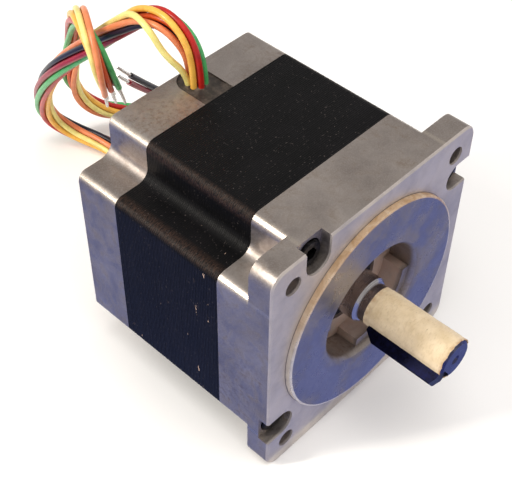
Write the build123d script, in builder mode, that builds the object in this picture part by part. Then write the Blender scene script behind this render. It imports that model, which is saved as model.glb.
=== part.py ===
from build123d import *
import os
from math import cos, pi, radians, sin, sqrt, tan

# Hybrid stepper motor of the 86 mm (NEMA 34) frame size with flying leads.
# The shaft lies along Y and points to -Y; the motor lies on its flat side, with +Z up.
# The origin is on the shaft axis, in the plane of the flange's mounting face.

# ---- housing ----
frame_width = 86.0            # across the flats of the square housing
half_width = frame_width / 2
notch = 13.2                  # corner relief, measured from each flat
relief_wall = half_width - notch
ridge_radius = 3.2            # rounding where a relief meets a flat
relief_radius = 4.0           # rounding in the bottom of a relief
flange_thickness = 8.3
flange_corner_radius = 5.0
flange_edge = 0.5
front_length = 20.0           # flange face to lamination stack
stack_length = 41.0
rear_length = 16.6
stack_start = front_length
stack_end = stack_start + stack_length
body_end = stack_end + rear_length
edge_break = 0.8
same_place = 0.01             # points closer than this count as one

# ---- pilot and its recess ----
pilot_radius = 36.5
pilot_height = 2.0
pilot_edge = 0.5
recess_radius = 19.8
recess_depth = 8.0
recess_lip = 2.5              # rounding of the recess's mouth
pad_radius = 16.8             # inner face of the two cast pads in the recess
pad_start = -100.0            # angle where the first pad begins, from +X towards +Z
pad_sweep = 98.0
pad_root = 0.4                # how far the pads run into the recess's wall and floor
seal_window_radius = 12.0

# ---- mounting holes and housing screws ----
hole_pitch = 69.6
mounting_hole_radius = 3.0
screw_offset = 25.1           # along the edge, from the axis
screw_height = 37.4           # towards the edge, from the axis
pocket_radius = 4.9
pocket_depth = 3.8
screw_head_radius = 4.25
screw_head_start = 2.9
screw_head_length = 5.0
screw_hex_radius = 2.3
screw_hex_depth = 2.6
screw_radius = 2.4
screw_clearance = 0.25
counterbore_clearance = 0.3
screw_crown = 0.4             # bevel round the head
screw_end = stack_end + 13.0  # bottom of the tapped holes
screw_end_gap = 0.5

# ---- housing interior ----
cavity_radius = 37.0
front_cavity_start = 10.5
hub_wall = 3.0
rear_wall = 3.0

# ---- lamination stack ----
air_gap = 0.1
rotor_radius = 22.9
stator_bore = rotor_radius + air_gap
tooth_pitch = 7.2
tooth_depth = 0.9
pole_count = 8
teeth_per_pole = 5
shoe_radius = 25.4
neck_half_width = 4.4
yoke_radius = 35.4

# ---- winding ----
coil_inner_radius = 26.2
coil_outer_radius = 33.8
coil_half_width = 8.2
coil_clearance = 0.7
coil_overhang = 6.0
insulator_thickness = 0.9
insulator_rim = 0.8
insulator_foot = 0.3          # how far the rim's foot stands out
insulator_gap = 0.25          # between the windings' corners and the rim
coil_corner = 4.0
coil_window_corner = 0.6
coil_end_gap = 0.1            # between a winding and the insulator under it
lip_gap = 0.2                 # between an insulator's lip and the winding
lip_start = shoe_radius - 0.6

# ---- shaft ----
shaft_radius = 6.35
shaft_end = -31.75
journal_radius = 7.5
journal_start = -0.6
journal_chamfer = 0.8
seat_radius = 8.4
seat_start = 20.0             # shoulders against the bearings' inner rings
seat_end = 64.0
rear_journal_radius = 5.0
rear_shaft_end = 73.4
shaft_end_chamfer = 0.8
centre_drill_radius = 1.6
centre_drill_depth = 3.0
sleeve_start = -31.2
sleeve_end = -3.2
sleeve_thickness = 0.22
key_width = 4.76
key_bottom = 4.4              # from the axis to the key's underside
key_shoulder = 7.4            # from the axis to where the key's ends slope
key_top = 10.0
key_start = -31.0
key_end = -5.5
key_nose = 1.1                # slope at the drive end
key_ramp = 3.5                # slope at the other end
key_edge = 0.35
key_clearance = 0.1           # round the key, in the wrap's slit
keyway_run_out = 1.0          # how far the keyway's cutter passes the shaft
key_angle = 214.6             # from +X towards +Z

# ---- rotor ----
rotor_tooth_count = 50
rotor_tooth_depth = 1.0
cup_length = 17.5
magnet_length = 4.0
magnet_radius = 20.0
rotor_centre = (stack_start + stack_end) / 2

# ---- bearings ----
front_bearing = dict(bore=7.5, outer=17.5, width=11.0, start=9.0, ball=2.975, balls=8)
rear_bearing = dict(bore=5.0, outer=15.0, width=9.0, start=64.0, ball=2.38, balls=8)
ball_clearance = 0.04
cage_thickness = 0.8
cage_clearance = 0.12
seal_thickness = 0.8
seal_gap = 0.15
washer_thickness = 0.5
washer_rise = 1.1
washer_gap = 0.3
washer_band = 3.4
shoulder_share = 0.55         # race shoulder from the pitch circle, in ball radii
cage_share = 2.56             # cage width, in ball radii

# ---- lead outlet ----
outlet_x = -0.5
outlet_y = 70.9
outlet_radius = 5.8
outlet_top = half_width - 0.35
outlet_floor = 36.3

# ---- leads ----
lead_radius = 1.0
bundle_radius = 2.55          # seven leads in a ring round the eighth
tip_radius = 0.6
tip_length = 9.0
tip_edge = 0.15
bend_share = 0.45             # part of the shorter run that each bend takes up
bundle_twist = 27.7           # degrees that the bundle turns about itself at each corner

# The bundle rises from the grommet, arches over the housing's rear edge and hangs in a loop
# behind it, down to the surface that the motor lies on.
hank_fall = [
    (-1.0, 70.0, outlet_top), (-1.0, 70.0, 50), (-2.0, 73, 58), (-3.0, 80.5, 61.8), (-3.9, 89.5, 59),
    (-4.6, 98, 51.5), (-5.6, 107, 43), (-7.2, 117, 33.5), (-8, 129.5, 21), (-5.6, 143, 5),
    (0.6, 156.5, -14), (6.4, 163, -29), (13, 158.5, -38), (18, 145, -39.3), (19.5, 131, -39.3)]
# Most leads turn back on the surface, climb again beside the first loop, pass over the arch
# and hang down in front of it.
hank_return = [
    (27.5, 122, -39.3), (38, 122, -39.3), (44.5, 129.5, -39), (43, 140, -37.5), (34, 148.5, -35),
    (24.5, 152, -30.5), (16, 153.5, -21), (10, 151, -8.5), (7.5, 145.5, 4.5), (5.5, 139, 17), (3, 133, 28),
    (-1.5, 125.5, 39), (-6.5, 116, 47.5), (-11, 107, 50.5), (-14, 99.5, 46), (-13.5, 97.5, 37),
    (-10, 100, 28.5)]
# Two leads go from the surface straight up to the loose ends.
short_return = [
    (26, 121.5, -36.5), (32, 115, -27), (32, 110.5, -13.5), (25.5, 108, -0.5), (17, 106.5, 10),
    (8, 106.5, 17.5), (-0.5, 105, 25.5)]
# One lead stands away from the bundle between the grommet and the arch.
loose_bow = [(-3.6, 71.6, 47.2), (-7.4, 76.4, 53.2), (-8.4, 81.5, 60.5), (-6.9, 90.3, 61.4)]
lead_names = ["orange", "navy", "peach", "ivory", "yellow", "red", "green", "maroon"]
short_leads = ["navy", "maroon"]
loose_lead = "ivory"

os.makedirs("parts", exist_ok=True)


def station(y):
    """The plane across the shaft at y; its normal points to -Y."""
    return Plane.XZ.offset(-y)


def write(shape, label):
    """Label one finished piece and write it to its own file."""
    shape.label = label
    export_step(shape, f"parts/{label}.step")


def housing_profile(plane):
    """The square with a rounded relief at each corner, as a sketch on plane."""
    with BuildSketch(plane) as outline:
        Rectangle(frame_width, frame_width)
        corners = (frame_width + relief_wall * 2) / 2
        with GridLocations(corners, corners, 2, 2):
            Rectangle(notch, notch, mode=Mode.SUBTRACT)
        inner = [v for v in outline.vertices() if is_inner_corner(v)]
        fillet(inner, radius=relief_radius)
        outer = [v for v in outline.vertices() if is_ridge(v)]
        fillet(outer, radius=ridge_radius)
    return outline.sketch


def is_inner_corner(vertex):
    """True for the corner at the bottom of a relief."""
    return abs(abs(vertex.X) - relief_wall) < same_place and abs(abs(vertex.Y) - relief_wall) < same_place


def is_ridge(vertex):
    """True for the corner where a relief meets a flat."""
    reach = sorted((abs(vertex.X), abs(vertex.Y)))
    return abs(reach[1] - half_width) < same_place and abs(reach[0] - relief_wall) < same_place


def screw_places():
    """The four housing screws, one beside each corner, turned a quarter from one to the next."""
    return [(-screw_offset, screw_height), (-screw_height, -screw_offset),
            (screw_offset, -screw_height), (screw_height, screw_offset)]


def front_bell():
    """Cast flange half: mounting flange, pilot, recess with pads, bearing seat and screw pockets."""
    with BuildPart() as bell:
        with BuildSketch(station(0)):
            RectangleRounded(frame_width, frame_width, flange_corner_radius)
        extrude(amount=-flange_thickness)
        chamfer(bell.faces().sort_by(Axis.Y)[0].edges(), length=flange_edge)
        extrude(housing_profile(station(flange_thickness)), amount=-(front_length - flange_thickness))
        with BuildSketch(station(0)):
            Circle(pilot_radius)
        extrude(amount=pilot_height)
        fillet(bell.faces().sort_by(Axis.Y)[0].edges(), radius=pilot_edge)
        with BuildSketch(station(-pilot_height)):
            Circle(recess_radius)
        extrude(amount=-(recess_depth + pilot_height), mode=Mode.SUBTRACT)
        mouth = [e for e in bell.edges().filter_by(GeomType.CIRCLE)
                 if abs(e.radius - recess_radius) < same_place
                 and abs(e.center().Y + pilot_height) < same_place]
        fillet(mouth, radius=recess_lip)
        for turn in (0, 180):
            add(recess_pad(turn))
        # seal window, bearing seat and the space round the winding
        with BuildSketch(station(recess_depth)):
            Circle(seal_window_radius)
        extrude(amount=-(front_bearing["start"] - recess_depth), mode=Mode.SUBTRACT)
        with BuildSketch(station(front_bearing["start"])):
            Circle(front_bearing["outer"])
        extrude(amount=-(front_length - front_bearing["start"]), mode=Mode.SUBTRACT)
        with BuildSketch(station(front_cavity_start)):
            Circle(cavity_radius)
            Circle(front_bearing["outer"] + hub_wall, mode=Mode.SUBTRACT)
        extrude(amount=-(front_length - front_cavity_start), mode=Mode.SUBTRACT)
        # mounting holes
        with BuildSketch(station(0)):
            with GridLocations(hole_pitch, hole_pitch, 2, 2):
                Circle(mounting_hole_radius)
        extrude(amount=-flange_thickness, mode=Mode.SUBTRACT)
        # housing screws: open pocket, counterbore and clearance hole
        with BuildSketch(station(0)):
            for count, place in enumerate(screw_places()):
                with Locations(Location(place, 90 * (count + 1))):
                    Circle(pocket_radius)
                    with Locations((pocket_radius, 0)):
                        Rectangle(pocket_radius * 2, pocket_radius * 2)
        extrude(amount=-pocket_depth, mode=Mode.SUBTRACT)
        with BuildSketch(station(pocket_depth)):
            with Locations(*screw_places()):
                Circle(screw_head_radius + counterbore_clearance)
        extrude(amount=-(screw_head_start + screw_head_length - pocket_depth), mode=Mode.SUBTRACT)
        with BuildSketch(station(0)):
            with Locations(*screw_places()):
                Circle(screw_radius + screw_clearance)
        extrude(amount=-front_length, mode=Mode.SUBTRACT)
    return bell.part


def recess_pad(turn):
    """One cast pad standing in from the wall of the recess."""
    with BuildPart() as pad:
        with BuildSketch(station(recess_lip - pilot_height)):
            with BuildLine():
                inner = CenterArc((0, 0), pad_radius, pad_start + turn, pad_sweep)
                outer = CenterArc((0, 0), recess_radius + pad_root, pad_start + turn, pad_sweep)
                Line(inner @ 0, outer @ 0)
                Line(inner @ 1, outer @ 1)
            make_face()
        extrude(amount=-(recess_depth - recess_lip + pilot_height + pad_root))
    return pad.part


def rear_bell():
    """Cast end half: bearing hub, tapped screw holes and the outlet slot for the leads."""
    with BuildPart() as bell:
        extrude(housing_profile(station(stack_end)), amount=-rear_length)
        back = bell.faces().filter_by(Axis.Y).sort_by(Axis.Y)[-1].edges()
        chamfer(back, length=edge_break)
        with BuildSketch(station(stack_end)):
            Circle(cavity_radius)
        extrude(amount=-(rear_length - rear_wall), mode=Mode.SUBTRACT)
        with BuildSketch(station(rear_bearing["start"])):
            Circle(rear_bearing["outer"] + hub_wall)
            Circle(rear_bearing["outer"], mode=Mode.SUBTRACT)
        extrude(amount=-(body_end - rear_wall - rear_bearing["start"]))
        with BuildSketch(station(stack_end)):
            with Locations(*screw_places()):
                Circle(screw_radius)
        extrude(amount=-(screw_end - stack_end), mode=Mode.SUBTRACT)
        with BuildSketch(Plane.XY.offset(outlet_floor)):
            add(outlet_outline())
        extrude(amount=half_width, mode=Mode.SUBTRACT)
    return bell.part


def outlet_outline():
    """The U-shaped outlet slot, open towards the lamination stack."""
    with BuildSketch() as slot:
        with Locations((outlet_x, outlet_y)):
            Circle(outlet_radius)
        with Locations((outlet_x, (outlet_y + stack_end) / 2)):
            Rectangle(outlet_radius * 2, outlet_y - stack_end)
    return slot.sketch


def lead_grommet():
    """The moulded plug that fills the outlet slot and holds the leads."""
    with BuildPart() as grommet:
        with BuildSketch(Plane.XY.offset(outlet_floor)):
            add(outlet_outline())
        extrude(amount=outlet_top - outlet_floor)
    return grommet.part


def stator_core():
    """The lamination stack: yoke, eight necks with toothed shoes, and the screw holes."""
    with BuildPart() as core:
        extrude(housing_profile(station(stack_start)), amount=-stack_length)
        with BuildSketch(station(stack_start)):
            Circle(yoke_radius)
            with PolarLocations(0, pole_count):
                with Locations(((shoe_radius + yoke_radius) / 2, 0)):
                    Rectangle(yoke_radius - shoe_radius + 1, neck_half_width * 2, mode=Mode.SUBTRACT)
                add(pole_shoe(), mode=Mode.SUBTRACT)
            Circle(stator_bore)
        extrude(amount=-stack_length, mode=Mode.SUBTRACT)
        with BuildSketch(station(stack_start)):
            with Locations(*screw_places()):
                Circle(screw_radius + screw_clearance)
        extrude(amount=-stack_length, mode=Mode.SUBTRACT)
    return core.part


def pole_shoe():
    """The toothed end of one pole, centred on +X."""
    half = teeth_per_pole * tooth_pitch / 2 - tooth_pitch / 4
    with BuildSketch() as shoe:
        with BuildLine():
            inner = CenterArc((0, 0), stator_bore, -half, 2 * half)
            outer = CenterArc((0, 0), shoe_radius, -half, 2 * half)
            Line(inner @ 0, outer @ 0)
            Line(inner @ 1, outer @ 1)
        make_face()
        slot_width = radians(tooth_pitch / 2) * stator_bore
        for count in range(teeth_per_pole - 1):
            angle = (count - (teeth_per_pole - 2) / 2) * tooth_pitch
            gap = (stator_bore * cos(radians(angle)), stator_bore * sin(radians(angle)))
            with Locations(Location(gap, angle)):
                Rectangle(tooth_depth * 2, slot_width, mode=Mode.SUBTRACT)
    return shoe.sketch


def coil(count):
    """One winding, a rounded ring of wire round the neck of pole number count."""
    start = stack_start - coil_overhang
    length = stack_length + 2 * coil_overhang
    inner_half = neck_half_width + coil_clearance
    inner_length = stack_length + 2 * (insulator_thickness + coil_end_gap)
    turn = 360 / pole_count * count
    middle = (coil_inner_radius, start + length / 2, 0)
    side = Plane(origin=middle, x_dir=(0, 1, 0), z_dir=(1, 0, 0))
    with BuildPart() as winding:
        with BuildSketch(side):
            RectangleRounded(length, coil_half_width * 2, coil_corner)
            RectangleRounded(inner_length, inner_half * 2, coil_window_corner, mode=Mode.SUBTRACT)
        extrude(amount=coil_outer_radius - coil_inner_radius)
    return winding.part.rotate(Axis.Y, -turn)


def end_insulator(face, outward):
    """Moulded insulator on one end of the stack: a rim, eight arms and their inner lips."""
    rim_inner = sqrt(coil_outer_radius ** 2 + coil_half_width ** 2) + insulator_gap
    lip_outer = coil_inner_radius - lip_gap
    with BuildPart() as insulator:
        with BuildSketch(station(face)):
            Circle(rim_inner + insulator_rim + insulator_foot)
            Circle(rim_inner, mode=Mode.SUBTRACT)
            with PolarLocations(0, pole_count):
                with Locations(((lip_outer + rim_inner) / 2, 0)):
                    Rectangle(rim_inner - lip_outer + 2, neck_half_width * 2)
            Circle(lip_start, mode=Mode.SUBTRACT)
        extrude(amount=-outward * insulator_thickness)
        with BuildSketch(station(face)):
            Circle(rim_inner + insulator_rim)
            Circle(rim_inner, mode=Mode.SUBTRACT)
            with PolarLocations((lip_start + lip_outer) / 2, pole_count):
                Rectangle(lip_outer - lip_start, neck_half_width * 2)
        extrude(amount=-outward * (coil_overhang - 0.5))
    return insulator.part


def rotor_shaft():
    """Turned shaft: drive end, front journal, rotor seat and rear journal, with a keyway."""
    with BuildPart() as shaft:
        with BuildSketch(Plane.XY):
            with BuildLine():
                Polyline(
                    (0, shaft_end), (shaft_radius, shaft_end), (shaft_radius, journal_start),
                    (journal_radius, journal_start), (journal_radius, seat_start), (seat_radius, seat_start),
                    (seat_radius, seat_end), (rear_journal_radius, seat_end),
                    (rear_journal_radius, rear_shaft_end), (0, rear_shaft_end), close=True)
            make_face()
        revolve(axis=Axis.Y)
        ends = [e for e in shaft.edges().filter_by(GeomType.CIRCLE)
                if min(abs(e.center().Y - shaft_end), abs(e.center().Y - rear_shaft_end)) < same_place]
        chamfer(ends, length=shaft_end_chamfer)
        step = [e for e in shaft.edges().filter_by(GeomType.CIRCLE)
                if abs(e.center().Y - journal_start) < same_place
                and abs(e.radius - journal_radius) < same_place]
        chamfer(step, length=journal_chamfer)
        with BuildSketch(Plane.XY):
            with BuildLine():
                Polyline((0, shaft_end), (centre_drill_radius, shaft_end),
                         (0, shaft_end + centre_drill_depth), close=True)
            make_face()
        revolve(axis=Axis.Y, mode=Mode.SUBTRACT)
        cutter_start = shaft_end - keyway_run_out
        add(keyway(shaft_radius + keyway_run_out, cutter_start, key_end, key_width), mode=Mode.SUBTRACT)
    return shaft.part


def keyway(top, start, end, width):
    """The block that a keyway takes away, from the key's underside out to top."""
    outward = Vector(cos(radians(key_angle)), 0, sin(radians(key_angle)))
    seat = Plane(origin=outward * key_bottom, x_dir=(0, 1, 0), z_dir=outward)
    with BuildPart() as block:
        with BuildSketch(seat):
            with Locations(((start + end) / 2, 0)):
                Rectangle(end - start, width)
        extrude(amount=top - key_bottom)
    return block.part


def shaft_key():
    """The parallel key: sloped at both ends, with its long edges broken."""
    outward = Vector(cos(radians(key_angle)), 0, sin(radians(key_angle)))
    side = Plane(origin=(0, 0, 0), x_dir=(0, 1, 0), z_dir=Vector(0, 1, 0).cross(outward))
    with BuildPart() as key:
        with BuildSketch(side):
            with BuildLine():
                Polyline((key_start, key_bottom), (key_start, key_shoulder), (key_start + key_nose, key_top),
                         (key_end - key_ramp, key_top), (key_end, key_shoulder), (key_end, key_bottom),
                         close=True)
            make_face()
        extrude(amount=key_width / 2, both=True)
        top = key.faces().sort_by(lambda face: face.center().dot(outward))[-1]
        chamfer(top.edges().filter_by(Axis.Y), length=key_edge)
    return key.part


def shaft_sleeve():
    """Thin protective wrap round the drive end, slit for the key."""
    with BuildPart() as sleeve:
        with BuildSketch(station(sleeve_start)):
            Circle(shaft_radius + sleeve_thickness)
            Circle(shaft_radius, mode=Mode.SUBTRACT)
        extrude(amount=-(sleeve_end - sleeve_start))
        slit_width = key_width + 2 * key_clearance
        slit_start = shaft_end - keyway_run_out
        add(keyway(key_top, slit_start, key_end + key_clearance, slit_width), mode=Mode.SUBTRACT)
    return sleeve.part


def rotor_cup(start, shift):
    """One toothed pole cap of the rotor, its teeth turned by shift degrees."""
    tooth_half = 360 / rotor_tooth_count / 4
    with BuildPart() as cup:
        with BuildSketch(station(start)):
            Circle(rotor_radius - rotor_tooth_depth)
            with PolarLocations(rotor_radius - rotor_tooth_depth, rotor_tooth_count, start_angle=shift):
                width = 2 * rotor_radius * sin(radians(tooth_half))
                Rectangle(rotor_tooth_depth * 1.9, width)
            Circle(seat_radius, mode=Mode.SUBTRACT)
        extrude(amount=-cup_length)
    return cup.part


def rotor_magnet():
    """The axially magnetised disc between the two cups."""
    with BuildPart() as magnet:
        with BuildSketch(station(rotor_centre - magnet_length / 2)):
            Circle(magnet_radius)
            Circle(seat_radius, mode=Mode.SUBTRACT)
        extrude(amount=-magnet_length)
    return magnet.part


def pitch_radius(bearing):
    """Radius of the circle that the balls' centres lie on."""
    return (bearing["bore"] + bearing["outer"]) / 2


def mid_plane(bearing):
    """The plane through the balls' centres."""
    return station(bearing["start"] + bearing["width"] / 2)


def shoulder(bearing, sign):
    """Radius of a race's shoulder beside the groove; sign is -1 inside and 1 outside."""
    return pitch_radius(bearing) + sign * bearing["ball"] * shoulder_share


def seal_land(bearing):
    """Radius of the inner ring's step under the seal's lip."""
    return (bearing["bore"] + shoulder(bearing, -1)) / 2


def race(bearing, low, high):
    """One ring between radii low and high, with its groove for the balls."""
    middle = bearing["start"] + bearing["width"] / 2
    with BuildPart() as ring:
        with BuildSketch(Plane.XY):
            with Locations(((low + high) / 2, middle)):
                Rectangle(high - low, bearing["width"])
            with Locations((pitch_radius(bearing), middle)):
                Circle(bearing["ball"] + ball_clearance, mode=Mode.SUBTRACT)
        revolve(axis=Axis.Y)
    return ring.part


def outer_ring(bearing):
    """The outer ring."""
    return race(bearing, shoulder(bearing, 1), bearing["outer"])


def inner_ring(bearing):
    """The inner ring, stepped down at both ends for the seals' lips."""
    step = seal_thickness + seal_gap
    with BuildPart() as ring:
        add(race(bearing, bearing["bore"], shoulder(bearing, -1)))
        for start in (bearing["start"], bearing["start"] + bearing["width"] - step):
            with BuildSketch(station(start)):
                Circle(shoulder(bearing, -1) + 1)
                Circle(seal_land(bearing), mode=Mode.SUBTRACT)
            extrude(amount=-step, mode=Mode.SUBTRACT)
    return ring.part


def balls(bearing):
    """The set of balls, each a separate solid."""
    with BuildPart() as ball_set:
        with Locations(mid_plane(bearing)):
            with PolarLocations(pitch_radius(bearing), bearing["balls"]):
                Sphere(bearing["ball"])
    return ball_set.part


def cage(bearing):
    """The ring that spaces the balls, with one round window for each."""
    height = bearing["ball"] * cage_share
    middle = bearing["start"] + bearing["width"] / 2
    with BuildPart() as spacer:
        with BuildSketch(station(middle - height / 2)):
            Circle(pitch_radius(bearing) + cage_thickness / 2)
            Circle(pitch_radius(bearing) - cage_thickness / 2, mode=Mode.SUBTRACT)
        extrude(amount=-height)
        with Locations(mid_plane(bearing)):
            with PolarLocations(pitch_radius(bearing), bearing["balls"]):
                Cylinder(bearing["ball"] + cage_clearance, cage_thickness * 4, rotation=(0, 90, 0),
                         mode=Mode.SUBTRACT)
    return spacer.part


def seals(bearing):
    """The two rubber seals, held in the outer ring and just clear of the inner one."""
    last = bearing["start"] + bearing["width"] - seal_thickness
    with BuildPart() as pair:
        for start in (bearing["start"], last):
            with BuildSketch(station(start)):
                Circle(shoulder(bearing, 1))
                Circle(seal_land(bearing) + seal_gap, mode=Mode.SUBTRACT)
            extrude(amount=-seal_thickness)
    return pair.part


def preload_washer():
    """Conical spring washer that pushes the rear bearing's outer ring forward."""
    start = rear_bearing["start"] + rear_bearing["width"]
    outer = rear_bearing["outer"] - washer_gap
    inner = outer - washer_band
    with BuildPart() as washer:
        with BuildSketch(Plane.XY):
            with BuildLine():
                Polyline((outer, start), (outer, start + washer_thickness),
                         (inner, start + washer_thickness + washer_rise), (inner, start + washer_rise),
                         close=True)
            make_face()
        revolve(axis=Axis.Y)
    return washer.part


def housing_screws():
    """The four socket-head screws that clamp the bells to the stack."""
    with BuildPart() as screws:
        for place in screw_places():
            with BuildSketch(station(screw_head_start)):
                with Locations(place):
                    Circle(screw_head_radius)
            extrude(amount=-screw_head_length)
        for place in screw_places():
            with BuildSketch(station(screw_head_start + screw_head_length)):
                with Locations(place):
                    Circle(screw_radius)
            extrude(amount=-(screw_end - screw_end_gap - screw_head_start - screw_head_length))
        crowns = [e for e in screws.edges().filter_by(GeomType.CIRCLE)
                  if abs(e.center().Y - screw_head_start) < same_place]
        chamfer(crowns, length=screw_crown)
        for place in screw_places():
            with BuildSketch(station(screw_head_start)):
                with Locations(place):
                    RegularPolygon(screw_hex_radius, 6)
            extrude(amount=-screw_hex_depth, mode=Mode.SUBTRACT)
    return screws.part


def lead_route(name):
    """The corners of one lead's route: the bundle's route, shifted to the lead's place in the bundle."""
    rest = short_return if name in short_leads else hank_return
    corners = [Vector(*corner) for corner in hank_fall + rest]
    along = [(after - before).normalized() for before, after in zip(corners, corners[1:])]
    place = lead_names.index(name)
    side = Vector(0, 0, 0)
    if place > 0:
        angle = 2 * pi * place / (len(lead_names) - 1)
        side = Vector(bundle_radius * cos(angle), bundle_radius * sin(angle), 0)
    route = [corners[0] + side]
    for before, after, corner in zip(along, along[1:], corners[1:]):
        mitre = before + after
        side = side - before * (side.dot(mitre) / before.dot(mitre))
        route.append(corner + side)
        side = side - after * side.dot(after)
        side = side.rotate(Axis((0, 0, 0), after), bundle_twist)
    route.append(corners[-1] + side)
    if name == loose_lead:
        route[1:1 + len(loose_bow)] = [Vector(*corner) for corner in loose_bow]
    return route


def bend_radii(route):
    """The radius at each corner: as large as the two runs beside it allow."""
    radii = []
    for before, corner, after in zip(route, route[1:], route[2:]):
        turn = (corner - before).get_angle(after - corner)
        shorter = min((corner - before).length, (after - corner).length)
        radii.append(bend_share * shorter / tan(radians(turn) / 2))
    return radii


def lead(name):
    """One insulated lead: straight runs joined by tangent arcs."""
    route = lead_route(name)
    radii = bend_radii(route)
    print("lead", name, "radii", " ".join(f"{radius:.1f}" for radius in radii))
    with BuildPart() as wire:
        with BuildLine() as path:
            FilletPolyline(*route, radius=radii)
        with BuildSketch(Plane(origin=path.line @ 0, z_dir=path.line % 0)):
            Circle(lead_radius)
        sweep(path=path.line)
    length = sum(edge.length for edge in path.edges())
    section = pi * lead_radius ** 2
    share = wire.part.volume / (section * length)
    print("lead", name, f"length {length:.1f}, volume / (section x length) {share:.4f}")
    return wire.part


def lead_tip(name):
    """The stripped and tinned end of one lead."""
    route = lead_route(name)
    with BuildPart() as tip:
        with BuildSketch(Plane(origin=route[-1], z_dir=route[-1] - route[-2])):
            Circle(tip_radius)
        extrude(amount=tip_length)
        end = tip.edges().filter_by(GeomType.CIRCLE).sort_by_distance(route[-1])[-1]
        chamfer(end, length=tip_edge)
    return tip.part


write(front_bell(), "front_bell")
write(rear_bell(), "rear_bell")
write(stator_core(), "stator_core")
write(housing_screws(), "housing_screws")
write(lead_grommet(), "lead_grommet")
write(end_insulator(stack_start, -1), "front_insulator")
write(end_insulator(stack_end, 1), "rear_insulator")
for number in range(pole_count):
    write(coil(number), f"coil_{number + 1}")
write(rotor_shaft(), "rotor_shaft")
write(shaft_key(), "shaft_key")
write(shaft_sleeve(), "shaft_sleeve")
write(rotor_cup(rotor_centre - magnet_length / 2 - cup_length, 0), "rotor_cup_front")
write(rotor_cup(rotor_centre + magnet_length / 2, tooth_pitch / 2), "rotor_cup_rear")
write(rotor_magnet(), "rotor_magnet")
for bearing_name, bearing in (("front", front_bearing), ("rear", rear_bearing)):
    write(outer_ring(bearing), f"{bearing_name}_bearing_outer_ring")
    write(inner_ring(bearing), f"{bearing_name}_bearing_inner_ring")
    write(balls(bearing), f"{bearing_name}_bearing_balls")
    write(cage(bearing), f"{bearing_name}_bearing_cage")
    write(seals(bearing), f"{bearing_name}_bearing_seals")
write(preload_washer(), "preload_washer")
for lead_name in lead_names:
    write(lead(lead_name), f"lead_{lead_name}")
    write(lead_tip(lead_name), f"lead_{lead_name}_tip")
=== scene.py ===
import random
from math import cos, pi, radians, sin, tau

import bmesh
import bpy
from mathutils import Matrix, Quaternion, Vector, noise


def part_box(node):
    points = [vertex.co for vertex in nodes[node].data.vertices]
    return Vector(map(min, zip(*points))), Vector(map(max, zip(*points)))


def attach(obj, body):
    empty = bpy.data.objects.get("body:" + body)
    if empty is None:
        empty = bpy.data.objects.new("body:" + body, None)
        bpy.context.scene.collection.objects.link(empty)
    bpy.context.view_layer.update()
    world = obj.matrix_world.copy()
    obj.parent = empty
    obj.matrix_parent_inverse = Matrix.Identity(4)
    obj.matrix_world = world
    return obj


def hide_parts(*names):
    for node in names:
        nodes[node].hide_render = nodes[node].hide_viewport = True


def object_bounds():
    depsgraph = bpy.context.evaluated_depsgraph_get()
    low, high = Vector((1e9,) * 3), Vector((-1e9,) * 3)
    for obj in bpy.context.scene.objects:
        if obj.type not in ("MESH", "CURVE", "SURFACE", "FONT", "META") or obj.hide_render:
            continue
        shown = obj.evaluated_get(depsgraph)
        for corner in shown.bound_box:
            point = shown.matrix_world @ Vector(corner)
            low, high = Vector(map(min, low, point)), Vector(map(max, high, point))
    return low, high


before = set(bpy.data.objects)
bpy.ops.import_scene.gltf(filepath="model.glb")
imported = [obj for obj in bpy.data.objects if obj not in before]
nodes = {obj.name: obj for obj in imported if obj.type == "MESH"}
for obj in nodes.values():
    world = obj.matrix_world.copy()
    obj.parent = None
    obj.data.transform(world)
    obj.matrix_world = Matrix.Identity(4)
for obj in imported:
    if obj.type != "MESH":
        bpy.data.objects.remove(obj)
cad_box = [list(corner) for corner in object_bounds()]

MM = 0.001


# ---------------------------------------------------------------- camera
def photo_camera():
    """The camera: to the left of the shaft, looking down at the front of the motor."""
    azimuth = radians(-46.88)
    elevation = radians(46.58)
    roll = radians(0.74)
    back = Vector((sin(azimuth) * cos(elevation), -cos(azimuth) * cos(elevation), sin(elevation)))
    level = Vector((cos(azimuth), sin(azimuth), 0))
    rise = back.cross(level)
    right = level * cos(roll) + rise * sin(roll)
    up = rise * cos(roll) - level * sin(roll)
    shift_right = -0.03336
    shift_up = 0.01823
    distance = 0.32687
    place = right * shift_right + up * shift_up + back * distance
    camera = bpy.data.objects.new("camera", bpy.data.cameras.new("camera"))
    camera.data.sensor_width = 36
    camera.data.lens = 77.69
    camera.data.clip_start = 0.01
    camera.matrix_world = Matrix.Translation(place) @ Matrix((right, up, back)).transposed().to_4x4()
    bpy.context.scene.collection.objects.link(camera)
    bpy.context.scene.camera = camera
    bpy.context.scene.view_settings.view_transform = "Standard"


# ---------------------------------------------------------------- materials
def linear(red, green, blue):
    """A colour given as screen values from 0 to 255, as the shader wants it."""
    return tuple(((value / 255 + 0.055) / 1.055) ** 2.4 if value > 10 else value / 255 / 12.92
                 for value in (red, green, blue)) + (1.0,)


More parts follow.
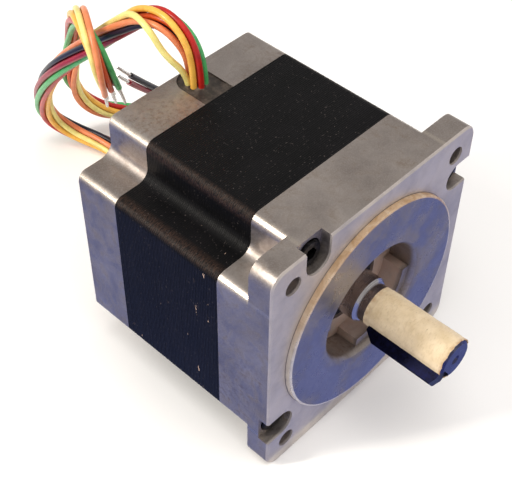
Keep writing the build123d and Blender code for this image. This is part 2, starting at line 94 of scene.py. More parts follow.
class Paint:
    """A node material under construction, with short calls for the nodes that the materials share."""

    def __init__(self, name, roughness=0.5, metallic=0.0):
        self.material = bpy.data.materials.new(name)
        self.material.use_nodes = True
        self.tree = self.material.node_tree
        self.shader = self.tree.nodes["Principled BSDF"]
        self.shader.inputs["Roughness"].default_value = roughness
        self.shader.inputs["Metallic"].default_value = metallic
        self.where = self.tree.nodes.new("ShaderNodeTexCoord").outputs["Object"]

    def put(self, socket, value):
        """Sets a socket to a value, or links an output to it."""
        if isinstance(value, bpy.types.NodeSocket):
            self.tree.links.new(value, socket)
        elif value is not None:
            socket.default_value = value

    def set(self, name, value):
        """Sets or links one of the shader's own sockets."""
        self.put(self.shader.inputs[name], value)

    def math(self, operation, first, second=None):
        node = self.tree.nodes.new("ShaderNodeMath")
        node.operation = operation
        for socket, value in zip(node.inputs, (first, second)):
            self.put(socket, value)
        return node.outputs[0]

    def plus(self, first, second):
        return self.math("ADD", first, second)

    def minus(self, first, second):
        return self.math("SUBTRACT", first, second)

    def times(self, first, second):
        return self.math("MULTIPLY", first, second)

    def larger(self, first, second):
        return self.math("MAXIMUM", first, second)

    def smaller(self, first, second):
        return self.math("MINIMUM", first, second)

    def below(self, value, limit):
        """1 where the value is below the limit, else 0."""
        return self.math("LESS_THAN", value, limit)

    def above(self, value, limit):
        """1 where the value is above the limit, else 0."""
        return self.math("GREATER_THAN", value, limit)

    def distance(self, across, along):
        """Length of the flat vector with these two parts."""
        return self.math("SQRT", self.plus(self.times(across, across), self.times(along, along)))

    def scaled(self, factors, turn=(0, 0, 0)):
        """Coordinates stretched by a factor along each axis."""
        node = self.tree.nodes.new("ShaderNodeMapping")
        self.put(node.inputs["Vector"], self.where)
        node.inputs["Scale"].default_value = factors
        node.inputs["Rotation"].default_value = turn
        return node.outputs[0]

    def split(self):
        """The x, y and z of the place on the object."""
        node = self.tree.nodes.new("ShaderNodeSeparateXYZ")
        self.put(node.inputs[0], self.where)
        return node.outputs

    def cross_section(self, x, z):
        """The larger and the smaller distance from the shaft, side to side or up and down."""
        wide = self.math("ABSOLUTE", x)
        tall = self.math("ABSOLUTE", z)
        return self.larger(wide, tall), self.smaller(wide, tall)

    def noise(self, scale, detail=4.0, roughness=0.55, source=None, distortion=0.0):
        node = self.tree.nodes.new("ShaderNodeTexNoise")
        self.put(node.inputs["Vector"], source or self.where)
        node.inputs["Scale"].default_value = scale
        node.inputs["Detail"].default_value = detail
        node.inputs["Roughness"].default_value = roughness
        node.inputs["Distortion"].default_value = distortion
        return node.outputs["Fac"]

    def cells(self, scale):
        node = self.tree.nodes.new("ShaderNodeTexVoronoi")
        self.put(node.inputs["Vector"], self.where)
        node.inputs["Scale"].default_value = scale
        return node.outputs["Distance"]

    def span(self, value, low, high, start=0.0, end=1.0):
        """The value, held between low and high and stretched to run from start to end."""
        node = self.tree.nodes.new("ShaderNodeMapRange")
        node.clamp = True
        for socket, given in zip(node.inputs, (value, low, high, start, end)):
            self.put(socket, given)
        return node.outputs[0]

    def blend(self, factor, first, second):
        """A colour that goes from the first to the second as the factor goes from 0 to 1."""
        node = self.tree.nodes.new("ShaderNodeMix")
        node.data_type = "RGBA"
        colour_a, colour_b = 6, 7
        self.put(node.inputs[0], factor)
        self.put(node.inputs[colour_a], first)
        self.put(node.inputs[colour_b], second)
        return node.outputs[2]

    def bump(self, height, distance, strength=1.0):
        node = self.tree.nodes.new("ShaderNodeBump")
        node.inputs["Strength"].default_value = strength
        node.inputs["Distance"].default_value = distance
        self.put(node.inputs["Height"], height)
        return node.outputs[0]


# Limits that part one finish from the next, in metres from the shaft's axis or along it.
# A pair is where a finish begins and where it is complete.
PILOT_FACE = -0.0014
PILOT_RIM_INNER, PILOT_RIM_OUTER = 0.0358, 0.0367
PILOT_RIM_REAR = -0.0001
FLANGE_SKIN = 0.0007
RECESS_MOUTH = (0.0245, 0.02)
RECESS_RADIUS = 0.0195
RECESS_START = (0.0002, 0.0022)
FRONT_BELL_END = 0.02
BELL_RIDGE_INNER = (0.0276, 0.0284)
BELL_RIDGE_OUTER = (0.0296, 0.029)
BELL_SIDE = (0.041, 0.0416)
STACK_RIDGE = (0.0274, 0.0286)
STACK_SIDE = (0.0385, 0.0405)
STACK_TOP = 0.03
WRAP_FRONT = (-0.0302, -0.0312)
WRAP_REAR = (-0.0048, -0.0036)
SHAFT_FRONT = -0.0309
POTTING_RESIDUE = (0.0042, 0.003)


def cast_metal():
    """Cast and milled aluminium: warm grey, mottled with oxide, with a fine grain and a few dings."""
    paint = Paint("bell_aluminium")
    x, y, z = paint.split()
    clouds = paint.noise(48, detail=6, roughness=0.62)
    blotches = paint.noise(190, detail=5, roughness=0.62, distortion=0.8)
    grain = paint.noise(2300, detail=3, roughness=0.7)
    colour = paint.blend(paint.span(clouds, 0.35, 0.65), linear(150, 140, 134), linear(180, 171, 165))
    colour = paint.blend(paint.span(blotches, 0.5, 0.7, 0, 0.6), colour, linear(132, 117, 104))
    colour = paint.blend(paint.span(grain, 0.45, 0.75, 0, 0.4), colour, linear(208, 202, 198))
    # brown stains that gather in patches
    stains = paint.times(paint.span(paint.noise(26, detail=4), 0.54, 0.64),
                         paint.span(paint.noise(700, detail=4), 0.5, 0.62))
    colour = paint.blend(paint.times(stains, 0.32), colour, linear(112, 84, 62))
    # the rounded ridges along the body are rubbed bright; their lighter colour is partly worn metal and
    # partly a painted highlight
    reach, lesser = paint.cross_section(x, z)
    rubbed_wear_and_highlight = paint.times(paint.span(lesser, *BELL_RIDGE_INNER), paint.span(lesser, *BELL_RIDGE_OUTER))
    rubbed_wear_and_highlight = paint.times(rubbed_wear_and_highlight, paint.span(reach, *BELL_SIDE))
    colour = paint.blend(paint.times(rubbed_wear_and_highlight, 0.4), colour, linear(206, 196, 182))
    # the turned front of the pilot is smoother, with marks that run round the shaft; its darker lavender-blue
    # colour is a painted reflection of blue
    radius = paint.distance(x, z)
    turned = paint.below(y, PILOT_FACE)
    painted_blue_reflection = paint.times(turned, paint.span(blotches, 0.3, 0.7, 0.3, 0.75))
    colour = paint.blend(painted_blue_reflection, colour, linear(130, 136, 166))
    # with grey and brown patches, most of all high up and round the mouth of the recess
    patches = paint.plus(paint.noise(62, detail=5, roughness=0.65), paint.span(z, -0.03, 0.035, -0.05, 0.07))
    patches = paint.plus(paint.span(patches, 0.44, 0.62), paint.span(radius, *RECESS_MOUTH, 0, 0.7))
    patches = paint.times(patches, paint.span(paint.noise(430, detail=4), 0.32, 0.6, 0.5, 1.0))
    patches = paint.times(paint.smaller(patches, 1.0), turned)
    colour = paint.blend(paint.times(patches, 0.8), colour, linear(134, 124, 118))
    # rust and old grease in the recess
    inside = paint.times(paint.below(radius, RECESS_RADIUS), paint.span(y, *RECESS_START))
    inside = paint.times(inside, paint.below(y, FRONT_BELL_END))
    dirt = paint.noise(330, detail=6, roughness=0.65)
    rust = paint.times(inside, paint.span(dirt, 0.3, 0.6, 0.35, 0.8))
    colour = paint.blend(rust, colour, linear(186, 158, 142))
    # the pilot's rim carries a painted highlight: a bright colour that turns golden higher up
    rim_highlight = paint.times(paint.above(radius, PILOT_RIM_INNER), paint.below(radius, PILOT_RIM_OUTER))
    rim_highlight = paint.times(rim_highlight, paint.below(y, PILOT_RIM_REAR))
    warm_highlight_high_up = paint.times(paint.span(z, 0.006, 0.024), paint.span(blotches, 0.35, 0.6, 0.5, 1.0))
    rim_highlight_colour = paint.blend(warm_highlight_high_up, linear(240, 230, 214), linear(222, 176, 118))
    colour = paint.blend(paint.times(rim_highlight, paint.span(blotches, 0.35, 0.6, 0.9, 0.6)), colour, rim_highlight_colour)
    # the flange's face is as milled, with a dull skin
    flange = paint.times(paint.below(y, FLANGE_SKIN), paint.above(radius, PILOT_RIM_OUTER))
    milled = paint.blend(paint.span(clouds, 0.4, 0.62), linear(218, 208, 200), linear(176, 170, 172))
    colour = paint.blend(paint.times(flange, 0.7), colour, milled)
    paint.set("Base Color", colour)
    dull = paint.larger(paint.times(inside, 0.75), paint.times(flange, 0.5))
    dull = paint.larger(dull, paint.times(rim_highlight, 0.55))
    dull = paint.larger(dull, paint.times(patches, 0.5))
    dull = paint.larger(dull, paint.span(blotches, 0.4, 0.7, 0.08, 0.2))
    paint.set("Metallic", paint.minus(1.0, dull))
    rough = paint.plus(paint.span(blotches, 0.3, 0.7, 0.34, 0.5), paint.span(grain, 0.3, 0.7, -0.04, 0.06))
    rough = paint.minus(rough, paint.times(turned, 0.1))
    rough = paint.minus(rough, paint.times(rubbed_wear_and_highlight, 0.12))
    paint.set("Roughness", rough)
    ring_pitch = 14000
    rings = paint.times(paint.math("SINE", paint.times(radius, ring_pitch)), turned)
    pits = paint.span(paint.cells(420), 0.0, 0.12, -2.0, 0.0)
    height = paint.plus(paint.plus(grain, paint.times(rings, 0.12)), pits)
    paint.set("Normal", paint.bump(height, 0.00003, 0.55))
    return paint.material


def black_paint():
    """Thin satin black paint over the lamination edges, worn brown along the ridges and chipped."""
    paint = Paint("lamination_black")
    x, y, z = paint.split()
    across, lesser = paint.cross_section(x, z)
    fibres = paint.noise(1, detail=5, roughness=0.7, source=paint.scaled((900, 3400, 900)))
    clouds = paint.noise(90, detail=5, roughness=0.6)
    ridge = paint.times(paint.span(lesser, *STACK_RIDGE), paint.span(across, *STACK_SIDE))
    worn = paint.times(ridge, paint.span(fibres, 0.4, 0.66))
    colour = paint.blend(paint.span(clouds, 0.35, 0.7), linear(7, 7, 8), linear(13, 12, 14))
    colour = paint.blend(paint.times(worn, 0.6), colour, linear(74, 54, 44))
    specks = paint.noise(1500, detail=2, roughness=0.6)
    colour = paint.blend(paint.span(specks, 0.66, 0.74, 0, 0.5), colour, linear(92, 84, 82))
    # chips, on the sides of the stack but not on its top
    scratch = paint.noise(1, detail=3, roughness=0.6, source=paint.scaled((160, 620, 160), turn=(0, 0, 0.5)))
    chips = paint.times(paint.span(scratch, 0.68, 0.695), paint.span(paint.noise(38), 0.48, 0.54))
    colour = paint.blend(paint.times(chips, paint.below(z, STACK_TOP)), colour, linear(176, 150, 136))
    paint.set("Base Color", colour)
    paint.set("Roughness", paint.minus(paint.span(fibres, 0.3, 0.7, 0.38, 0.56), paint.times(worn, 0.1)))
    paint.set("Specular IOR Level", 0.16)
    paint.set("Normal", paint.bump(fibres, 0.00004, 0.6))
    return paint.material


def black_oxide(name, colour, edge):
    """Blackened steel with a little oil, worn bright in places."""
    paint = Paint(name, metallic=0.9)
    clouds = paint.noise(700, detail=5, roughness=0.6)
    paint.set("Base Color", paint.blend(paint.span(clouds, 0.45, 0.7), colour, edge))
    paint.set("Roughness", paint.span(clouds, 0.3, 0.7, 0.24, 0.4))
    paint.set("Normal", paint.bump(paint.noise(3200, detail=2), 0.00001, 0.5))
    return paint.material


def turned_steel(name, colour, roughness, painted_reflection_end=None):
    """Ground or turned steel: fine marks that run round the shaft, faint stains, and an end painted dark blue
    as a painted reflection.
    """
    paint = Paint(name, metallic=1.0)
    lines = paint.noise(1, detail=4, roughness=0.7, source=paint.scaled((60, 9000, 60)))
    stains = paint.noise(260, detail=5, roughness=0.65)
    dull = tuple(value * 0.55 for value in colour[:3]) + (1.0,)
    finish = paint.blend(paint.span(stains, 0.5, 0.75, 0, 0.6), colour, dull)
    if painted_reflection_end:
        # past this limit the end is painted dark blue, a painted reflection of blue
        along = paint.split()[1]
        end = paint.times(paint.below(along, painted_reflection_end), paint.span(stains, 0.3, 0.5, 0.75, 0.95))
        finish = paint.blend(end, finish, linear(70, 72, 112))
    paint.set("Base Color", finish)
    paint.set("Roughness", paint.plus(paint.span(lines, 0.3, 0.7, roughness - 0.05, roughness + 0.07),
                                      paint.span(stains, 0.5, 0.8, 0, 0.12)))
    paint.set("Normal", paint.bump(lines, 0.000006, 0.6))
    return paint.material


def dark_rubber(name, colour, dusty, residue=None):
    """Moulded or potted rubber, matt, with a dusty bloom, and pale residue round one point."""
    paint = Paint(name)
    clouds = paint.noise(480, detail=6, roughness=0.65)
    grain = paint.noise(4200, detail=2, roughness=0.6)
    finish = paint.blend(paint.span(clouds, 0.42, 0.72), colour, dusty)
    if residue:
        x, y, z = paint.split()
        away = paint.distance(paint.minus(x, residue[0]), paint.minus(y, residue[1]))
        crust = paint.times(paint.span(away, *POTTING_RESIDUE), paint.span(clouds, 0.46, 0.6, 0, 0.55))
        finish = paint.blend(crust, finish, linear(132, 116, 100))
    paint.set("Base Color", finish)
    paint.set("Roughness", paint.span(clouds, 0.3, 0.7, 0.46, 0.66))
    height = paint.plus(clouds, paint.times(grain, 0.3))
    paint.set("Normal", paint.bump(height, 0.00012, 0.6))
    return paint.material


def crepe_wrap():
    """Cream crepe paper wrap: fine cross wrinkles, brown stains at its ends, slightly see-through fibres."""
    paint = Paint("sleeve_crepe", roughness=0.78)
    along = paint.split()[1]
    wrinkles = paint.noise(1, detail=5, roughness=0.65, source=paint.scaled((700, 2100, 700)))
    clouds = paint.noise(240, detail=5, roughness=0.6)
    colour = paint.blend(paint.span(clouds, 0.35, 0.7), linear(228, 208, 176), linear(210, 188, 152))
    colour = paint.blend(paint.span(wrinkles, 0.52, 0.75, 0, 0.5), colour, linear(176, 150, 112))
    ends = paint.larger(paint.span(along, *WRAP_FRONT), paint.span(along, *WRAP_REAR, 0, 0.6))
    ends = paint.times(ends, paint.span(paint.noise(520, detail=5), 0.35, 0.65))
    colour = paint.blend(ends, colour, linear(158, 108, 62))
    specks = paint.span(paint.noise(1300, detail=2), 0.7, 0.76, 0, 0.55)
    colour = paint.blend(specks, colour, linear(128, 98, 70))
    paint.set("Base Color", colour)
    paint.set("Sheen Weight", 0.15)
    paint.set("Subsurface Weight", 0.06)
    paint.set("Subsurface Radius", (0.001, 0.0007, 0.0004))
    paint.set("Normal", paint.bump(wrinkles, 0.00012, 0.75))
    return paint.material


def lead_insulation(name, colour, shade):
    """Soft PVC insulation: a gentle gloss, faint dirt and a slight waviness."""
    paint = Paint(f"insulation_{name}")
    clouds = paint.noise(300, detail=5, roughness=0.6)
    fine = paint.noise(2400, detail=3, roughness=0.6)
    paint.set("Base Color", paint.blend(paint.span(clouds, 0.42, 0.75, 0, 0.7), colour, shade))
    paint.set("Roughness", paint.span(fine, 0.3, 0.7, 0.3, 0.42))
    paint.set("Subsurface Weight", 0.08)
    paint.set("Subsurface Radius", (0.0008, 0.0005, 0.0003))
    paint.set("Coat Weight", 0.12)
    paint.set("Coat Roughness", 0.2)
    paint.set("Normal", paint.bump(fine, 0.00001, 0.5))
    return paint.material


def tinned_copper():
    """Solder-tinned strands: bright, slightly uneven."""
    paint = Paint("tinned_strands", metallic=1.0)
    clouds = paint.noise(1400, detail=4, roughness=0.6)
    colour = paint.blend(paint.span(clouds, 0.4, 0.7), linear(222, 220, 218), linear(176, 168, 160))
    paint.set("Base Color", colour)
    paint.set("Roughness", paint.span(clouds, 0.3, 0.7, 0.18, 0.36))
    paint.set("Normal", paint.bump(clouds, 0.00003, 0.5))
    return paint.material


def winding():
    """Enamelled copper, layer beside layer."""
    paint = Paint("winding_copper", metallic=0.9)
    layers = paint.noise(1, detail=3, source=paint.scaled((2600, 300, 2600)))
    paint.set("Base Color", paint.blend(layers, linear(150, 72, 34), linear(196, 112, 62)))
    paint.set("Roughness", paint.span(layers, 0.3, 0.7, 0.3, 0.45))
    paint.set("Normal", paint.bump(layers, 0.0001, 0.8))
    return paint.material


def nylon():
    """Moulded natural nylon."""
    paint = Paint("insulator_nylon", roughness=0.5)
    clouds = paint.noise(500, detail=4)
    paint.set("Base Color", paint.blend(clouds, linear(226, 220, 205), linear(206, 198, 180)))
    paint.set("Subsurface Weight", 0.1)
    paint.set("Subsurface Radius", (0.002, 0.0015, 0.001))
    paint.set("Normal", paint.bump(paint.noise(2200), 0.00002, 0.5))
    return paint.material


def sintered_magnet():
    """Dark sintered magnet with a gritty surface."""
    paint = Paint("magnet_sintered", metallic=0.6)
    grit = paint.noise(2600, detail=4, roughness=0.7)
    paint.set("Base Color", paint.blend(grit, linear(52, 53, 58), linear(86, 86, 92)))
    paint.set("Roughness", paint.span(grit, 0.3, 0.7, 0.45, 0.65))
    paint.set("Normal", paint.bump(grit, 0.00003, 0.7))
    return paint.material


def dress(obj, material):
    """Gives every slot of an object one material."""
    if not obj.material_slots:
        obj.data.materials.append(material)
    for slot in obj.material_slots:
        slot.material = material


def dress_cad(finishes):
    """Puts the finished materials on the CAD nodes, by the start of the node's name."""
    for name, node in nodes.items():
        for start, material in finishes.items():
            if name.startswith(start):
                dress(node, material)
                break


# ---------------------------------------------------------------- refined CAD pieces
SAME_PLACE = 1e-7
CUT_SNAP = 1e-8
BACKWARD = (0, 1, 0)


def refined_copy(name, node, chosen, cuts, shift):
    """A copy of a CAD node whose chosen faces are cut into fine rows, and whose points then shift."""
    shape = bmesh.new()
    shape.from_mesh(nodes[node].data)
    bmesh.ops.remove_doubles(shape, verts=shape.verts, dist=SAME_PLACE)
    faces = [face for face in shape.faces if chosen(face)]
    for family in cuts:
        whole = []
        for place, normal in family:
            edges = {edge for face in faces for edge in face.edges}
            points = {point for face in faces for point in face.verts}
            cut = bmesh.ops.bisect_plane(shape, geom=faces + list(edges) + list(points),
                                         dist=CUT_SNAP, plane_co=place, plane_no=normal)
            faces = []
            for item in cut["geom"]:
                if isinstance(item, bmesh.types.BMFace):
                    # the cuts that go backward come in order, so a face in front of one is done with
                    passed = (item.calc_center_median() - Vector(place)).dot(normal) < 0
                    (whole if passed and normal == BACKWARD else faces).append(item)
        faces = whole + faces
    moved = {point for face in faces for point in face.verts}
    for point in moved:
        point.co += shift(point.co)
    mesh = bpy.data.meshes.new(name)
    shape.to_mesh(mesh)
    shape.free()
    mesh.polygons.foreach_set("use_smooth", [True] * len(mesh.polygons))
    mesh.set_sharp_from_angle(angle=radians(32))
    obj = bpy.data.objects.new(name, mesh)
    bpy.context.scene.collection.objects.link(obj)
    return obj


def stand_for(obj, node, body, material):
    """Puts a refined piece in its CAD node's place."""
    dress(obj, material)
    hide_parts(node)
    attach(obj, body)


def make_laminations(material):
    """The stack's outer skin as separate sheets, a groove at each joint, that don't quite line up."""
    low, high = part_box("stator_core")
    pitch = 0.65 * MM
    groove = 0.09 * MM
    groove_depth = 0.08 * MM
    skin_radius = 40 * MM
    bolt_clearance = 3 * MM
    edge = 0.01 * MM
    count = round((high.y - low.y) / pitch)
    pitch = (high.y - low.y) / count
    heights = []
    for joint in range(1, count):
        middle = low.y + joint * pitch
        heights += [middle - groove, middle, middle + groove]
    rng = random.Random(8)
    steps = [rng.uniform(-0.025, 0.015) * MM for sheet in range(count)]
    bolts = [Vector((x, z)) * MM for x, z in ((-25.1, 37.4), (-37.4, -25.1), (25.1, -37.4), (37.4, 25.1))]

    def outside(face):
        centre = face.calc_center_median()
        flat = Vector((centre.x, centre.z))
        clear = min((flat - bolt).length for bolt in bolts) > bolt_clearance
        return abs(face.normal.y) < 0.1 and flat.length > skin_radius and clear

    def shift(point):
        away = (point.y - low.y) / pitch
        joint = round(away)
        inward = Vector((-point.x, 0, -point.z)).normalized()
        if 0 < joint < count and abs(away - joint) * pitch < 0.3 * groove:
            return inward * groove_depth
        if point.y - low.y < edge or high.y - point.y < edge:
            return Vector((0, 0, 0))
        return inward * -steps[min(int(away), count - 1)]

    stack = refined_copy("lamination_stack", "stator_core", outside,
                         [[((0, height, 0), BACKWARD) for height in heights]], shift)
    stand_for(stack, "stator_core", "stator", material)


def make_wrap(material):
    """The crepe wrap on the shaft: wrinkled, with a thinner band at the rear and a frayed front edge."""
    low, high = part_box("shaft_sleeve")
    row_count = 76
    turn_count = 44
    rows = [low.y + (high.y - low.y) * step / row_count for step in range(1, row_count)]
    wall = high.x - 0.1 * MM
    band = 1.5 * MM

    def shift(point):
        radial = Vector((point.x, 0, point.z))
        outward = radial.normalized()
        crepe = noise.noise(point * 900) * 0.07 + noise.noise(point * 2300 + Vector((3, 5, 7))) * 0.05
        slack = noise.noise(point * 260) * 0.09
        lift = crepe + slack if radial.length > wall else 0.0
        if radial.length > wall and point.y > high.y - band:
            lift -= 0.13
        ragged = 0.0
        if point.y < low.y + 0.1 * MM:
            ragged = noise.noise(outward * 5.3) * 0.32 + noise.noise(outward * 17) * 0.18
        return outward * lift * MM + Vector((0, ragged * MM, 0))

    angles = [pi * step / turn_count for step in range(turn_count)]
    turns = [((0, 0, 0), (cos(angle), 0, sin(angle))) for angle in angles]
    wrap = refined_copy("crepe_wrap", "shaft_sleeve", lambda face: True,
                        [[((0, row, 0), BACKWARD) for row in rows], turns], shift)
    stand_for(wrap, "shaft_sleeve", "rotor", material)


def make_potting(material, exit_place):
    """The potted grommet: an uneven top that rises to a collar where the leads come out."""
    low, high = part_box("lead_grommet")
    row_count = 34
    column_count = 26
    collar_radius = 5.4 * MM
    collar_height = 0.9

    def shift(point):
        if point.z < high.z - 0.01 * MM:
            return Vector((0, 0, 0))
        away = (Vector((point.x, point.y)) - Vector(exit_place[:2])).length
        collar = max(0.0, 1 - (away / collar_radius) ** 2) * collar_height
        uneven = noise.noise(point * 420) * 0.22 + noise.noise(point * 1500) * 0.07
        return Vector((0, 0, (collar + uneven) * MM))

    rows = [((0, low.y + (high.y - low.y) * step / row_count, 0), BACKWARD) for step in range(1, row_count)]
    columns = [((low.x + (high.x - low.x) * step / column_count, 0, 0), (1, 0, 0))
               for step in range(1, column_count)]
    potting = refined_copy("lead_potting", "lead_grommet", lambda face: face.normal.z > 0.9,
                           [rows, columns], shift)
    stand_for(potting, "lead_grommet", "stator", material)


# ---------------------------------------------------------------- leads
LEAD_RADIUS = 1.0 * MM
BUNDLE_RADIUS = 2.55 * MM
BUNDLE_TWIST = radians(27.7)
TIP_LENGTH = 9 * MM
TIP_RADIUS = 0.6 * MM
TIP_ROOT = 0.3 * MM
OUTLET_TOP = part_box("lead_grommet")[1].z / MM

# The bundle's route, in millimetres: out of the grommet, over the rear edge and down to the surface.
HANK_FALL = [
    (-1.0, 70.0, OUTLET_TOP), (-1.0, 70.0, 50), (-2.0, 73, 58), (-3.0, 80.5, 61.8), (-3.9, 89.5, 59),
    (-4.6, 98, 51.5), (-5.6, 107, 43), (-7.2, 117, 33.5), (-8, 129.5, 21), (-5.6, 143, 5),
    (0.6, 156.5, -14), (6.4, 163, -29), (13, 158.5, -38), (18, 145, -39.3), (19.5, 131, -39.3)]
# Most leads turn back on the surface, climb again beside the first loop and hang down in front of it.
HANK_RETURN = [
    (27.5, 122, -39.3), (38, 122, -39.3), (44.5, 129.5, -39), (43, 140, -37.5), (34, 148.5, -35),
    (24.5, 152, -30.5), (16, 153.5, -21), (10, 151, -8.5), (7.5, 145.5, 4.5), (5.5, 139, 17), (3, 133, 28),
    (-1.5, 125.5, 39), (-6.5, 116, 47.5), (-11, 107, 50.5), (-14, 99.5, 46), (-13.5, 97.5, 37),
    (-10, 100, 28.5)]
# Two leads turn back sooner and end beside the body.
SHORT_RETURN = [
    (26, 121.5, -36.5), (32, 115, -27), (32, 110.5, -13.5), (25.5, 108, -0.5), (17, 106.5, 10),
    (8, 106.5, 17.5), (-0.5, 105, 25.5)]
# One lead stands away from the bundle between the grommet and the arch.
LOOSE_BOW = [(-3.6, 71.6, 47.2), (-7.4, 76.4, 53.2), (-8.4, 81.5, 60.5), (-6.9, 90.3, 61.4)]
LEAD_EXIT = tuple(part * MM for part in HANK_FALL[0])
LEAD_NAMES = ["orange", "navy", "peach", "ivory", "yellow", "red", "green", "maroon"]
SHORT_LEADS = ["navy", "maroon"]
LOOSE_LEAD = "ivory"
LEAD_COLOURS = {
    "ivory": (linear(236, 224, 138), linear(196, 180, 100)),
    "yellow": (linear(240, 184, 78), linear(200, 136, 48)),
    "orange": (linear(212, 82, 24), linear(156, 52, 16)),
    "peach": (linear(232, 140, 92), linear(196, 102, 62)),
    "red": (linear(186, 30, 22), linear(128, 16, 14)),
    "green": (linear(84, 178, 104), linear(48, 128, 70)),
    "navy": (linear(16, 17, 40), linear(9, 9, 22)),
    "maroon": (linear(154, 24, 48), linear(104, 14, 32))}


def lead_route(name):
    """The control points of one lead: the bundle's route, shifted to the lead's place in the bundle."""
    rest = SHORT_RETURN if name in SHORT_LEADS else HANK_RETURN
    corners = [Vector(corner) * MM for corner in HANK_FALL + rest]
    along = [(after - before).normalized() for before, after in zip(corners, corners[1:])]
    place = LEAD_NAMES.index(name)
    side = Vector((0, 0, 0))
    if place > 0:
        angle = tau * place / (len(LEAD_NAMES) - 1)
        side = Vector((BUNDLE_RADIUS * cos(angle), BUNDLE_RADIUS * sin(angle), 0))
    route = [corners[0] + side]
    for before, after, corner in zip(along, along[1:], corners[1:]):
        mitre = before + after
        side = side - before * (side.dot(mitre) / before.dot(mitre))
        route.append(corner + side)
        side = side - after * side.dot(after)
        side.rotate(Quaternion(after, BUNDLE_TWIST))
    route.append(corners[-1] + side)
    if name == LOOSE_LEAD:
        route[1:1 + len(LOOSE_BOW)] = [Vector(corner) * MM for corner in LOOSE_BOW]
    return route


def spline_curve(name, points, radius):
    """A round tube along one smooth NURBS line."""
    curve = bpy.data.curves.new(name, "CURVE")
    curve.dimensions = "3D"
    curve.bevel_depth = radius
    curve.bevel_resolution = 6
    curve.resolution_u = 10
    curve.use_fill_caps = True
    spline = curve.splines.new("NURBS")
    spline.points.add(len(points) - 1)
    for point, place in zip(spline.points, points):
        point.co = (*place, 1)
    spline.order_u = 3
    spline.use_endpoint_u = True
    obj = bpy.data.objects.new(name, curve)
    bpy.context.scene.collection.objects.link(obj)
    return obj


def centreline(points):
    """Points along the smooth line that the control points give."""
    bare = spline_curve("bare_line", points, 0.0)
    bare.data.use_fill_caps = False
    mesh = bpy.data.meshes.new_from_object(bare)
    line = [vertex.co.copy() for vertex in mesh.vertices]
    bpy.data.objects.remove(bare)
    bpy.data.meshes.remove(mesh)
    return line


def twisted_tip(name, start, direction, length, radius):
    """Tinned strands twisted together: a helically grooved stub that narrows a little at its end."""
    strands = 6
    lay = 5.0
    groove_depth = 0.16
    taper = 0.25
    rings = 28
    around = 36
    mesh = bpy.data.meshes.new(name)
    obj = bpy.data.objects.new(name, mesh)
    bpy.context.scene.collection.objects.link(obj)
    shape = bmesh.new()
    aside = direction.orthogonal().normalized()
    other = direction.cross(aside)
    bend = aside * 0.04
    levels = []
    for level in range(rings + 1):
        share = level / rings
        centre = start + direction * (length * share) + bend * length * share * share
        shrink = 1 - taper * share ** 6
        ring = []
        for step in range(around):
            angle = tau * step / around
            groove = 1 - groove_depth * abs(sin(strands / 2 * (angle + lay * share)))
            reach = radius * shrink * groove
            ring.append(shape.verts.new(centre + aside * (reach * cos(angle)) + other * (reach * sin(angle))))
        levels.append(ring)
    for low, high in zip(levels, levels[1:]):
        for step in range(around):
            following = (step + 1) % around
            shape.faces.new((low[step], low[following], high[following], high[step]))
    shape.faces.new(list(reversed(levels[0])))
    shape.faces.new(levels[-1])
    for face in shape.faces:
        face.smooth = len(face.verts) == 4
    shape.to_mesh(mesh)
    shape.free()
    return obj


def make_leads():
    """The eight leads, each with its tinned end."""
    tinned = tinned_copper()
    for name in LEAD_NAMES:
        route = lead_route(name)
        lead = spline_curve(f"wire_{name}", route, LEAD_RADIUS)
        dress(lead, lead_insulation(name, *LEAD_COLOURS[name]))
        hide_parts(f"lead_{name}")
        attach(lead, "stator")
        line = centreline(route)
        direction = (line[-1] - line[-2]).normalized()
        root = line[-1] - direction * TIP_ROOT
        tip = twisted_tip(f"wire_{name}_tip", root, direction, TIP_LENGTH, TIP_RADIUS)
        dress(tip, tinned)
        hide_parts(f"lead_{name}_tip")
        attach(tip, "stator")


# ---------------------------------------------------------------- room
def area_light(name, place, target, size, power, colour, glossy=True):
    """A soft rectangular light that the camera doesn't see."""
    light = bpy.data.objects.new(name, bpy.data.lights.new(name, "AREA"))
    light.data.shape = "RECTANGLE"
    light.data.size, light.data.size_y = size
    light.data.energy = power
    light.data.color = colour
    light.location = place
    light.rotation_euler = (Vector(target) - Vector(place)).to_track_quat("-Z", "Y").to_euler()
    light.visible_camera = False
    light.visible_glossy = glossy
    bpy.context.scene.collection.objects.link(light)


def bounce_card(name, middle, size, height, glow):
    """A glowing coloured card just above the floor, that only shows in reflections."""
    bpy.ops.mesh.primitive_plane_add(size=1, location=(*middle, height))
    card = bpy.context.object
    card.name = name
    card.scale = (*size, 1)
    paint = Paint(name, roughness=1.0)
    paint.set("Base Color", (0, 0, 0, 1))
    dimmer = tuple(0.8 * part for part in glow)
    paint.set("Emission Color", paint.blend(paint.noise(5), (*glow, 1), (*dimmer, 1)))
    paint.set("Emission Strength", 1.0)
    dress(card, paint.material)
    card.visible_camera = False
    card.visible_diffuse = False
    card.visible_shadow = False


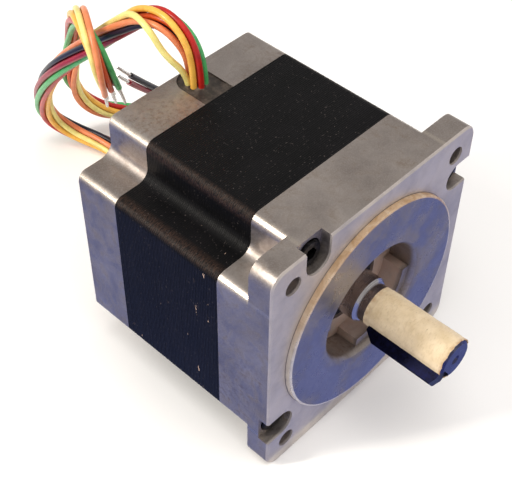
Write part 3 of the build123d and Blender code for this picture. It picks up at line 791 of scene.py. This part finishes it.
def make_room():
    """A plain pale floor, soft light from above, and two blue cards beside and in front of the motor."""
    floor_height = cad_box[0][2]
    bpy.ops.mesh.primitive_plane_add(size=6, location=(0, 0, floor_height))
    floor = bpy.context.object
    floor.name = "floor"
    paint = Paint("floor_pale", roughness=0.9)
    paint.set("Base Color", paint.blend(paint.noise(3), linear(250, 250, 250), linear(247, 247, 248)))
    paint.set("Specular IOR Level", 0.1)
    dress(floor, paint.material)
    world = bpy.data.worlds.new("room")
    world.use_nodes = True
    background = world.node_tree.nodes["Background"]
    background.inputs["Color"].default_value = (1.0, 0.965, 0.94, 1)
    background.inputs["Strength"].default_value = 0.5
    bpy.context.scene.world = world
    target = (0, 0.03, 0)
    area_light("key", (-0.1, -0.15, 1.1), target, (0.9, 0.9), 8, (1.0, 0.97, 0.93), glossy=False)
    area_light("fill", (0.5, -0.8, 0.7), target, (0.9, 0.9), 2.5, (1.0, 0.98, 0.96), glossy=False)
    area_light("glint", (-0.62, 0.38, 0.46), target, (0.08, 0.5), 4.6, (1.0, 0.95, 0.86))
    bounce_card("left_card", (-0.353, 0.05), (0.62, 0.9), floor_height + 0.002, (0.2, 0.26, 0.62))
    bounce_card("front_card", (0.1, -0.281), (1.0, 0.56), floor_height + 0.003, (0.26, 0.31, 0.66))


# ---------------------------------------------------------------- making
photo_camera()
make_leads()
make_room()
make_laminations(black_paint())
make_wrap(crepe_wrap())
potting_rubber = dark_rubber("grommet_potting", linear(42, 36, 32), linear(78, 68, 60), residue=LEAD_EXIT)
make_potting(potting_rubber, LEAD_EXIT)
dress_cad({
    "front_bell": cast_metal(), "rear_bell": bpy.data.materials["bell_aluminium"],
    "stator_core": bpy.data.materials["lamination_black"],
    "housing_screws": black_oxide("screw_oxide", linear(26, 26, 28), linear(66, 64, 66)),
    # the key's dark navy colour is painted shade, the tone of a shaded underside
    "shaft_key": black_oxide("key_oxide_painted_shade", linear(10, 11, 34), linear(20, 22, 58)),
    "shaft_sleeve": bpy.data.materials["sleeve_crepe"],
    "rotor_shaft": turned_steel("shaft_ground", linear(196, 192, 192), 0.22, painted_reflection_end=SHAFT_FRONT),
    "rotor_cup": turned_steel("rotor_ground", linear(168, 168, 170), 0.35),
    "rotor_magnet": sintered_magnet(), "lead_grommet": potting_rubber,
    "coil": winding(), "front_insulator": nylon(), "rear_insulator": bpy.data.materials["insulator_nylon"],
    "front_bearing_seals": dark_rubber("seal_rubber", linear(20, 20, 22), linear(44, 42, 42)),
    "rear_bearing_seals": bpy.data.materials["seal_rubber"],
    "front_bearing_cage": turned_steel("cage_pressed", linear(190, 184, 168), 0.32),
    "rear_bearing_cage": bpy.data.materials["cage_pressed"],
    "front_bearing": turned_steel("bearing_polished", linear(220, 220, 224), 0.12),
    "rear_bearing": bpy.data.materials["bearing_polished"],
    "preload_washer": turned_steel("washer_spring", linear(150, 152, 158), 0.3)})
